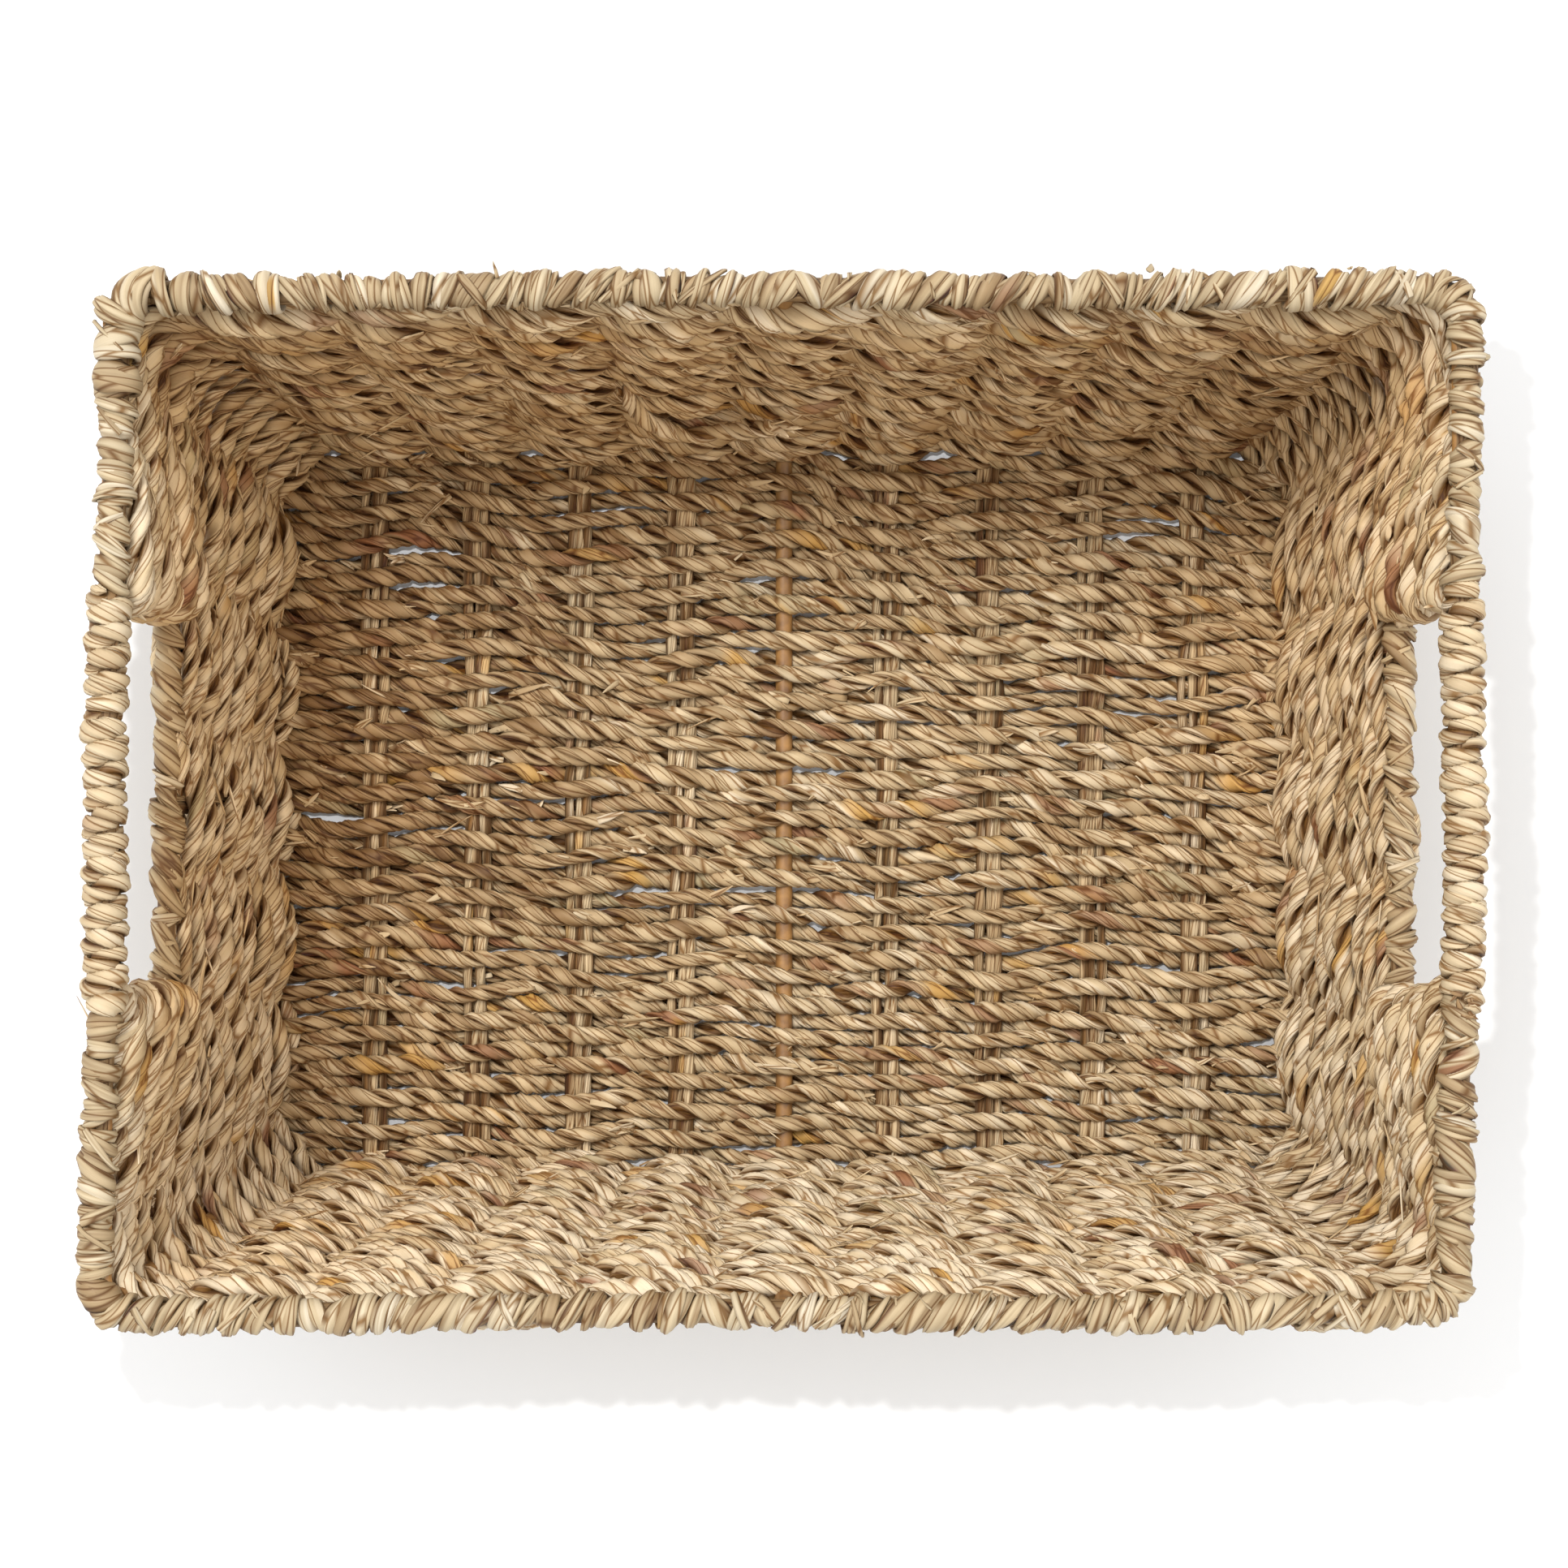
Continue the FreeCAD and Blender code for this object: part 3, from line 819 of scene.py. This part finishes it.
def leaf_turn(piece, rng, bar, place, shift, advance, radius, width, tone, tilt, span=(-195, 195)):
    """One strip of leaf once round a bar. It leans and bulges on top, and is pinched at the sides.

    shift moves it along the bar from its bundle's place, and fades towards the sides with the bulge.
    advance is how far it leans, and span is where it starts and ends, in degrees from the top.
    """
    angle = np.radians(np.linspace(*span, STRIP_STEPS))
    s_round = angle * radius
    lean = np.clip((angle + math.pi / 2) / math.pi, 0, 1)
    lean = lean * lean * (3 - 2 * lean) - 0.5
    bulge = np.cos(np.clip(angle, -math.pi / 2, math.pi / 2)) ** 2
    outer = np.clip(np.abs(angle) / (math.pi / 2) - 1, 0, 1)
    pinch = 0.78 + 0.22 * np.maximum(bulge, outer)
    spot = place + shift * pinch - advance * lean + drift(rng, s_round, 9, 0.35)
    centre, _, up, side = bar.at(spot)
    radial = turned(up, side, angle)
    under = np.clip(np.abs(angle) / math.pi - 0.75, 0, 1) * 4
    away = radius + drift(rng, s_round, 6, 0.18) - 1.2 * under + 0.8 * (pinch - 0.9)
    path = centre + radial * away[:, None]
    forward = unit(np.gradient(path, axis=0))
    across = unit(np.cross(radial, forward))
    lift = np.cross(forward, across)
    narrow = 1.12 * pinch * (1 - 0.3 * under) * (1 + drift(rng, s_round, 7, 0.12))
    top = np.linspace(1, -1, STRIP_POINTS)
    folds = 0.18 * np.cumsum(rng.normal(0, 1, (3, STRIP_POINTS)), axis=1)
    folds = folds - folds.mean(axis=1, keepdims=True)
    marks = np.linspace(0, 2, len(angle))
    low = np.clip(marks.astype(int), 0, 1)
    part = (marks - low)[:, None]
    folds = folds[low] * (1 - part) + folds[low + 1] * part
    crown = 0.32 + 0.16 * width * (1 - top**2) + folds + tilt * top * width / 2
    wide = np.concatenate((top, (-0.9, 0.9)))[None, :] * (width / 2 * narrow)[:, None]
    high = np.concatenate((crown, np.full((len(angle), 2), -0.3)), axis=1)
    rings = section(path, across, lift, wide, high)
    colours = leaf_colours(rng, s_round, STRIP_POINTS + 2, tone, spread=0.07, odd_every=1200)
    valley = np.clip(-folds * 1.7, 0, 0.5)
    valley = np.concatenate((valley, np.zeros((len(angle), 2))), axis=1)
    edge = np.clip(np.abs(wide) / (width / 2) - 0.72, 0, 0.28) / 0.28
    shadow = valley + 0.46 * edge * rng.uniform(0.4, 1.3)
    colours = colours * (1 - np.clip(shadow[..., None] * (0.9, 1.05, 1.2), 0, 0.9))
    piece.tube(rings, colours, grain_of(rng, s_round, wide, rings.shape))


def wind(piece, rng, bar, radius, pitch, leaves, lean, tone, swell=0.0, overlap=1.38):
    """Bundles of leaf wound close together along the bar, with a few loose strips over them.

    pitch, lean and swell are values, or functions of the place along the bar. leaves is the least and the
    most leaves in a bundle, two or more, and together they cover its pitch overlap times.
    """
    place = 0.0
    wander = drift(rng, np.linspace(0, bar.length + 1, 200), 25, 0.22)
    wander_at = np.linspace(0, 1, len(wander))
    while place < bar.length - 2.0:
        own_pitch = value_at(pitch, place) * rng.uniform(0.7, 1.35)
        own_pitch = min(own_pitch, bar.length - place + 0.6)
        count = rng.integers(leaves[0], leaves[1] + 1)
        middle = place + own_pitch / 2
        own_tone = tone + rng.normal(0, 0.09)
        own_lean = value_at(lean, middle)
        own_lean += np.interp(middle / bar.length, wander_at, wander) + rng.normal(0, 0.28)
        if rng.random() < 0.10:
            own_lean = -0.6 * own_lean
        reach = radius - 1.0 + float(np.clip(rng.normal(0, 0.42), -0.6, 0.9)) + value_at(swell, middle)
        for number in range(count):
            across = 2 * number / (count - 1) - 1
            width = own_pitch * overlap / count * rng.uniform(0.8, 1.25)
            shift = across * (own_pitch - width) / 2
            away = reach - 0.85 * across * across + rng.uniform(-0.25, 0.25)
            advance = own_pitch * (own_lean + rng.normal(0, 0.17))
            leaf_tone = own_tone + rng.normal(0, 0.08)
            leaf_turn(piece, rng, bar, middle, shift, advance, away, width, leaf_tone, rng.normal(0, 0.18))
        if rng.random() < 0.30:
            advance = own_pitch * rng.choice((-0.9, 1.7)) * rng.uniform(0.5, 1.2)
            width = rng.uniform(1.3, 2.8)
            aim = rng.uniform(-50, 50)
            span = (aim - rng.uniform(45, 80), aim + rng.uniform(45, 80))
            leaf_turn(piece, rng, bar, middle, 0.0, advance, reach + 0.3, width, own_tone + 0.04, 0.1, span)
        if rng.random() < 0.16:
            loose_tip(piece, rng, bar, middle, reach + 0.4, own_tone)
        place += own_pitch


def loose_tip(piece, rng, bar, place, radius, tone):
    """The end of a strip, standing off the bar."""
    angle = rng.uniform(-2.2, 2.2)
    centre, tangent, up, side = (value[0] for value in bar.at(np.array((place,))))
    radial = up * math.cos(angle) + side * math.sin(angle)
    round_bar = side * math.cos(angle) - up * math.sin(angle)
    way = rng.choice((-1.0, 1.0))
    direction = way * round_bar + tangent * rng.normal(0, 0.5) + radial * rng.uniform(0.0, 0.25)
    length, width = rng.uniform(3, 7), rng.uniform(0.7, 2.2)
    start = centre + radial * radius
    stray(piece, rng, start, unit(direction), radial, length, width, -0.06 * length, tone)


def core(piece, rng, bar, radius):
    """Turns underneath, dark as painted shade, so that nothing shows through between the leaves."""
    s = np.linspace(0, bar.length, max(6, round(bar.length / 4)))
    centre, _, up, side = bar.at(s)
    turn = np.linspace(0, 2 * math.pi, 14, endpoint=False)[None, :, None]
    rings = centre[:, None, :] + radius * (up[:, None, :] * np.cos(turn) - side[:, None, :] * np.sin(turn))
    rings = rings[:, ::-1]
    colours = np.broadcast_to(shade_of(np.array(SHADED_CORE_TONE)), rings.shape)
    piece.tube(rings, colours, grain_of(rng, s, turn[..., 0] * radius, rings.shape))


def rim_line(start, end, bow=0.0):
    """A straight line in 3 mm steps, bowed outwards by bow at its middle."""
    start, end = np.asarray(start, float), np.asarray(end, float)
    t = np.linspace(0, 1, max(8, round(np.linalg.norm(end - start) / 3)))[:, None]
    outward = unit((start + end) / 2 * (1, 1, 0))
    return start + (end - start) * t + outward * bow * 4 * t * (1 - t)


def graded(places, values):
    """A function of the place along a bar, from its values at a few places."""
    return lambda place: float(np.interp(place, places, values))


def wrap(leaf, rng, name, node, path, radius, pitch, leaves, lean, tone, swell=0.0, overlap=1.38):
    """A piece of leaf wound round a path, over a dark core."""
    piece = Piece(name, STRIP_TINT)
    bar = Bar(path)
    core(piece, rng, bar, radius - CORE_DEPTH)
    wind(piece, rng, bar, radius, pitch, leaves, lean, tone, swell, overlap)
    piece.build(leaf, "leaf_strip", node)


def make_wrapping(leaf):
    """The leaf on the rim, the grips and the sills. The rim's corner at the back left is fatter."""
    rng = np.random.default_rng(51)
    for name, side_y in (("front", -1), ("back", 1)):
        wrap_long_side(leaf, rng, name, side_y)
    for x_name, side_x in (("left", -1), ("right", 1)):
        for y_name, side_y in (("front", -1), ("back", 1)):
            fat = side_x == -1 and side_y == 1
            wrap_short_stretch(leaf, rng, f"{x_name}_{y_name}", side_x, side_y, fat)
            wrap_corner(leaf, rng, f"{x_name}_{y_name}", side_x, side_y, fat)
        wrap_grip(leaf, rng, x_name, side_x)
        x, y = side_x * half_x(SILL_Z), side_x * SILL_HALF
        names = (f"sill_leaf_{x_name}", f"sill_wrap_{x_name}")
        sill = rim_line((x, -y, SILL_Z), (x, y, SILL_Z))
        wrap(leaf, rng, *names, sill, SILL_R, 6.6, (2, 3), 0.9, SILL_TONE)


def wrap_long_side(leaf, rng, name, side_y):
    """The front or the back. The back swells and its leaf leans the other way near the fat corner."""
    x, y = side_y * RIM_STRAIGHT_X, side_y * RIM_Y
    path = rim_line((x, y, RIM_Z), (-x, y, RIM_Z))
    swell, lean = 0.0, 0.8
    if side_y == 1:
        length = 2 * RIM_STRAIGHT_X
        swell = graded((length - 45, length), (0, 1.3))
        lean = graded((length - 85, length - 60), (0.8, -0.8))
    names = (f"rim_leaf_{name}", f"rim_wrap_{name}")
    wrap(leaf, rng, *names, path, RIM_R, 6.9, (2, 3), lean, RIM_TONE, swell)


def wrap_short_stretch(leaf, rng, name, side_x, side_y, fat):
    """The rim between a grip and a corner."""
    ends = [(side_x * RIM_X, side_y * y, RIM_Z) for y in (HANDLE_HALF, RIM_STRAIGHT_Y)]
    if side_x * side_y < 0:
        ends.reverse()
    path = rim_line(*ends)
    swell, pitch, lean = 0.0, 6.8, 0.45
    if fat:
        swell = graded((0, 26), (2.0, 0))
        pitch = graded((14, 14.01), (9.5, pitch))
        lean = graded((18, 18.01), (-0.3, lean))
    names = (f"rim_leaf_{name}", f"rim_wrap_{name}")
    wrap(leaf, rng, *names, path, RIM_R, pitch, (2, 3), lean, RIM_TONE, swell)


def wrap_corner(leaf, rng, name, side_x, side_y, fat):
    quarter = {(1, 1): 0, (-1, 1): 1, (-1, -1): 2, (1, -1): 3}[(side_x, side_y)]
    angle = np.linspace(0, math.pi / 2, 16) + quarter * math.pi / 2
    x = side_x * RIM_STRAIGHT_X + RIM_CORNER * np.cos(angle)
    y = side_y * RIM_STRAIGHT_Y + RIM_CORNER * np.sin(angle)
    path = np.stack((x, y, np.full_like(angle, RIM_Z)), axis=-1)
    names = (f"rim_leaf_corner_{name}", f"rim_corner_wrap_{name}")
    if fat:
        wrap(leaf, rng, *names, path, RIM_R, 9.0, (3, 4), lean=0.3, tone=RIM_TONE, swell=1.9, overlap=1.7)
    else:
        wrap(leaf, rng, *names, path, RIM_R, 6.0, (2, 3), lean=0.5, tone=RIM_TONE, swell=0.3, overlap=1.9)


def wrap_grip(leaf, rng, name, side_x):
    """The grip is wound with a flattened two-ply rope."""
    piece = Piece(f"handle_grip_{name}", GRIP_TINT)
    x, y = side_x * RIM_X, side_x * HANDLE_HALF
    bar = Bar(rim_line((x, -y, RIM_Z), (x, y, RIM_Z), bow=0.8))
    core(piece, rng, bar, RIM_R - GRIP_CORE_DEPTH)
    pitch = 6.6
    turns = bar.length / pitch
    angle = np.linspace(0, 2 * math.pi * turns, round(turns * 26))
    s = pitch * angle / (2 * math.pi) + drift(rng, angle, 6, 0.35)
    centre, _, up, side = bar.at(s)
    radial = turned(up, side, angle)
    away = RIM_R - 1.75 + drift(rng, angle, 5, 0.22)
    path = centre + radial * away[:, None]
    forward = unit(np.gradient(path, axis=0))
    axes = (forward, radial, np.cross(forward, radial))
    size = (1.3, 1.6, 2.4)
    for number in range(2):
        ply(piece, rng, path, axes, size, phase=math.pi * number, lay=21, columns=PLY_COLUMNS,
            tone=GRIP_TONE, spread=0.07, flat=(0.85, 1.18), odd_every=1500)
    if side_x == 1:
        worn_tuft(piece, rng)
    piece.build(leaf, "leaf_strip", f"handle_wrap_{name}")


def worn_tuft(piece, rng):
    """Brown broken leaf on top of the rim, where the right grip ends at the front."""
    spot = np.array((RIM_X, -HANDLE_HALF, RIM_Z + RIM_R - 0.6))
    for _ in range(9):
        start = spot + rng.normal(0, (1.6, 1.8, 0.2))
        aim = unit(rng.normal(0, (1.0, 1.0, 0.08)))
        length, width, tone = rng.uniform(2, 4), rng.uniform(0.9, 1.9), rng.uniform(0.2, 0.38)
        stray(piece, rng, start, aim, UP, length, width, 0.1, tone)


# ------------ materials


def new_material(name):
    material = bpy.data.materials.new(name)
    material.use_nodes = True
    nodes = material.node_tree.nodes
    return material, nodes, material.node_tree.links, nodes["Principled BSDF"]


def set_inputs(node, **values):
    """Sets a node's inputs. An underscore stands for a space in an input's name."""
    for key, value in values.items():
        node.inputs[key.replace("_", " ")].default_value = value


def leaf_material(name, strip, fibre, contrast, roughness):
    """Dry leaf: narrow strips side by side, with painted shade darkening the creases between them, and fine
    fibres along them.

    strip and fibre are (length, width) in millimetres.
    """
    material, nodes, links, shader = new_material(name)

    def add(kind, **values):
        node = nodes.new(kind)
        for key, value in values.items():
            setattr(node, key, value)
        return node

    colour = add("ShaderNodeAttribute", attribute_name="leaf")
    grain = add("ShaderNodeAttribute", attribute_name="grain")

    def remap(source, low, high, new_low, new_high):
        node = add("ShaderNodeMapRange")
        set_inputs(node, From_Min=low, From_Max=high, To_Min=new_low, To_Max=new_high)
        links.new(source, node.inputs["Value"])
        return node.outputs["Result"]

    def combine(operation, first, second):
        node = add("ShaderNodeMath", operation=operation)
        links.new(first, node.inputs[0])
        if isinstance(second, float):
            node.inputs[1].default_value = second
        else:
            links.new(second, node.inputs[1])
        return node.outputs[0]

    def stretched(size):
        node = add("ShaderNodeMapping")
        node.inputs["Scale"].default_value = (1 / size[0], 1 / size[1], 1.0)
        links.new(grain.outputs["Vector"], node.inputs["Vector"])
        return node.outputs["Vector"]

    def texture(kind, place, inputs, **values):
        node = add(f"ShaderNode{kind}", **values)
        set_inputs(node, **inputs)
        links.new(place, node.inputs["Vector"])
        return node

    cells = stretched(strip)
    edges = texture("TexVoronoi", cells, {"Scale": 1.0}, feature="DISTANCE_TO_EDGE")
    tones = texture("TexVoronoi", cells, {"Scale": 1.0}, feature="F1")
    fibres = texture("TexNoise", stretched(fibre), {"Scale": 1.0, "Detail": 3.0, "Roughness": 0.65})
    split = add("ShaderNodeSeparateColor")
    links.new(tones.outputs["Color"], split.inputs["Color"])

    crease = remap(edges.outputs["Distance"], 0.01, 0.08, 0.0, 1.0)
    shade = combine("MULTIPLY", remap(split.outputs["Red"], 0.0, 1.0, 1 - contrast, 1 + 0.7 * contrast),
                    remap(fibres.outputs["Fac"], 0.3, 0.7, 1 - 0.7 * contrast, 1 + 0.6 * contrast))
    lit = add("ShaderNodeVectorMath", operation="SCALE")
    links.new(colour.outputs["Color"], lit.inputs[0])
    links.new(shade, lit.inputs["Scale"])
    # Painted shade: towards each crease between strips the colour goes darker and browner
    brown = add("ShaderNodeVectorMath", operation="MULTIPLY")
    links.new(lit.outputs["Vector"], brown.inputs[0])
    brown.inputs[1].default_value = STRIP_EDGE_PAINTED_SHADE
    mixed = add("ShaderNodeMix", data_type="RGBA")
    links.new(crease, mixed.inputs["Factor"])
    links.new(brown.outputs["Vector"], mixed.inputs["A"])
    links.new(lit.outputs["Vector"], mixed.inputs["B"])
    links.new(mixed.outputs["Result"], shader.inputs["Base Color"])
    rough = remap(fibres.outputs["Fac"], 0.3, 0.7, roughness + 0.1, roughness - 0.08)
    links.new(rough, shader.inputs["Roughness"])
    height = combine("ADD", remap(edges.outputs["Distance"], 0.0, 0.3, 0.0, 1.0),
                     combine("MULTIPLY", fibres.outputs["Fac"], 0.35))
    relief = add("ShaderNodeBump")
    set_inputs(relief, Strength=0.8, Distance=0.0004)
    links.new(height, relief.inputs["Height"])
    links.new(relief.outputs["Normal"], shader.inputs["Normal"])
    set_inputs(shader, Specular_IOR_Level=0.3)
    return material


def brown_paint():
    """Satin brown paint with slight mottling and scuffs."""
    material, nodes, links, shader = new_material("brown_paint")
    place = nodes.new("ShaderNodeNewGeometry")
    noise = nodes.new("ShaderNodeTexNoise")
    set_inputs(noise, Scale=220.0, Detail=4.0)
    links.new(place.outputs["Position"], noise.inputs["Vector"])
    ramp = nodes.new("ShaderNodeValToRGB")
    ramp.color_ramp.elements[0].position = 0.3
    ramp.color_ramp.elements[0].color = (0.17, 0.078, 0.024, 1)
    ramp.color_ramp.elements[1].position = 0.75
    ramp.color_ramp.elements[1].color = (0.40, 0.205, 0.060, 1)
    links.new(noise.outputs["Fac"], ramp.inputs["Fac"])
    links.new(ramp.outputs["Color"], shader.inputs["Base Color"])
    rough = nodes.new("ShaderNodeMapRange")
    set_inputs(rough, To_Min=0.35, To_Max=0.6)
    links.new(noise.outputs["Fac"], rough.inputs["Value"])
    links.new(rough.outputs["Result"], shader.inputs["Roughness"])
    return material


def make_materials():
    return {
        "rope": leaf_material("seagrass_rope", (17, 3.3), (12, 0.36), contrast=0.10, roughness=0.60),
        "leaf": leaf_material("leaf_strip", (22, 3.2), (16, 0.40), contrast=0.08, roughness=0.58),
        "cord": leaf_material("stake_cord", (26, 1.1), (10, 0.25), contrast=0.20, roughness=0.66),
        "paint": brown_paint(),
    }


# ------------ studio


def make_studio():
    world = bpy.data.worlds.new("studio")
    bpy.context.scene.world = world
    world.use_nodes = True
    set_inputs(world.node_tree.nodes["Background"], Color=(1.0, 0.985, 0.965, 1), Strength=1.02)

    bpy.ops.mesh.primitive_plane_add(size=12, location=(0, 0, 0))
    floor = bpy.context.object
    floor.name = "floor"
    material, _, _, shader = new_material("pale_floor")
    set_inputs(shader, Base_Color=(0.93, 0.95, 0.975, 1), Roughness=0.9, Specular_IOR_Level=0.0)
    floor.data.materials.append(material)

    key = add_lamp("key", "SUN", 2.3)
    key.data.angle = math.radians(22)
    key.rotation_euler = Vector((0.28, -0.37, -0.88)).to_track_quat("-Z", "Y").to_euler()
    overhead = add_lamp("overhead", "SUN", 0.45)
    overhead.data.angle = math.radians(70)
    side = add_lamp("side", "POINT", 18.0)
    side.data.shadow_soft_size = 12 * MM
    side.location = (-97 * MM, 129 * MM, 1088 * MM)
    fill = add_lamp("fill", "SUN", 0.55)
    fill.data.angle = math.radians(50)
    fill.rotation_euler = Vector((-0.75, 0.05, -0.65)).to_track_quat("-Z", "Y").to_euler()
    light_only(key, (floor,), False)
    light_only(side, (floor,), True)
    base = [thing for thing in bpy.context.scene.objects if thing.name.startswith("base_rope")]
    light_only(fill, (floor, *base), False)


def add_lamp(name, kind, strength):
    lamp = bpy.data.lights.new(name, kind)
    lamp.energy = strength
    lamp.color = (1.0, 0.99, 0.975)
    return new_object(name, lamp)


def light_only(lamp, things, included):
    """Makes a lamp light only these things, or everything else."""
    lit = bpy.data.collections.new(f"{lamp.name}_lights")
    for number, thing in enumerate(things):
        lit.objects.link(thing)
        lit.collection_objects[number].light_linking.link_state = "INCLUDE" if included else "EXCLUDE"
    lamp.light_linking.receiver_collection = lit


def make_camera():
    """Straight above the basket, a little to the front, 1 m over the rim."""
    distance = 1000.0
    focal_pixels = 4300.0
    picture = 1932.0
    camera = bpy.data.cameras.new("camera")
    camera.sensor_width = 36.0
    camera.lens = camera.sensor_width * focal_pixels / picture
    camera.clip_start = 0.05
    eye = new_object("camera", camera)
    forward, aimed_back = 24.6, 3.7
    eye.location = (0, -forward * MM, (RIM_Z + distance) * MM)
    eye.rotation_euler = (math.atan((forward + aimed_back) / distance), 0, 0)
    bpy.context.scene.camera = eye


# ------------ the basket

PAINTED_NODES = ("rim_wire", "bottom_hoop", "corner_post", "centre_rod", "handle_wire")

materials = make_materials()
make_base(materials["rope"])
make_walls(materials["rope"])
make_stakes(materials["cord"])
make_wrapping(materials["leaf"])
for node, part in frame["nodes"].items():
    if node.startswith(PAINTED_NODES):
        for material_slot in part.material_slots:
            material_slot.material = materials["paint"]
make_studio()
make_camera()
bpy.context.scene.view_settings.view_transform = "Standard"
